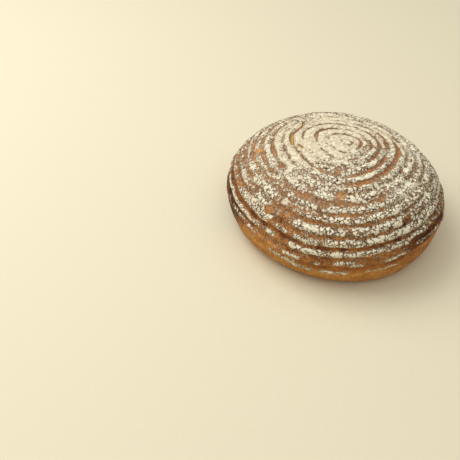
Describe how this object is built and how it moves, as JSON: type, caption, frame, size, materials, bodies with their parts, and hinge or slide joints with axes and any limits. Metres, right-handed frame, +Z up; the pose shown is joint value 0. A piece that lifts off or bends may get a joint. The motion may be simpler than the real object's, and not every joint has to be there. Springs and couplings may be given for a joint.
{
  "type": "potato bread loaf",
  "caption": "Round potato bread loaf with a floured, basket-ringed crust, a domed top and a flat base to rest on.",
  "frame": {"origin": "middle of the flat base, at the centre of the bounding box's bottom face", "axes": "+Z up through the dome, -Y towards the loaf's front, +X to the right seen from the front"},
  "size_m": [0.2132, 0.229, 0.0932],
  "materials": {
    "floured_crust": "matte baked crust, golden to reddish brown, with baked-on cream flour rings"
  },
  "bodies": {
    "root": {"loaf": "floured_crust"}
  },
  "joints": []
}
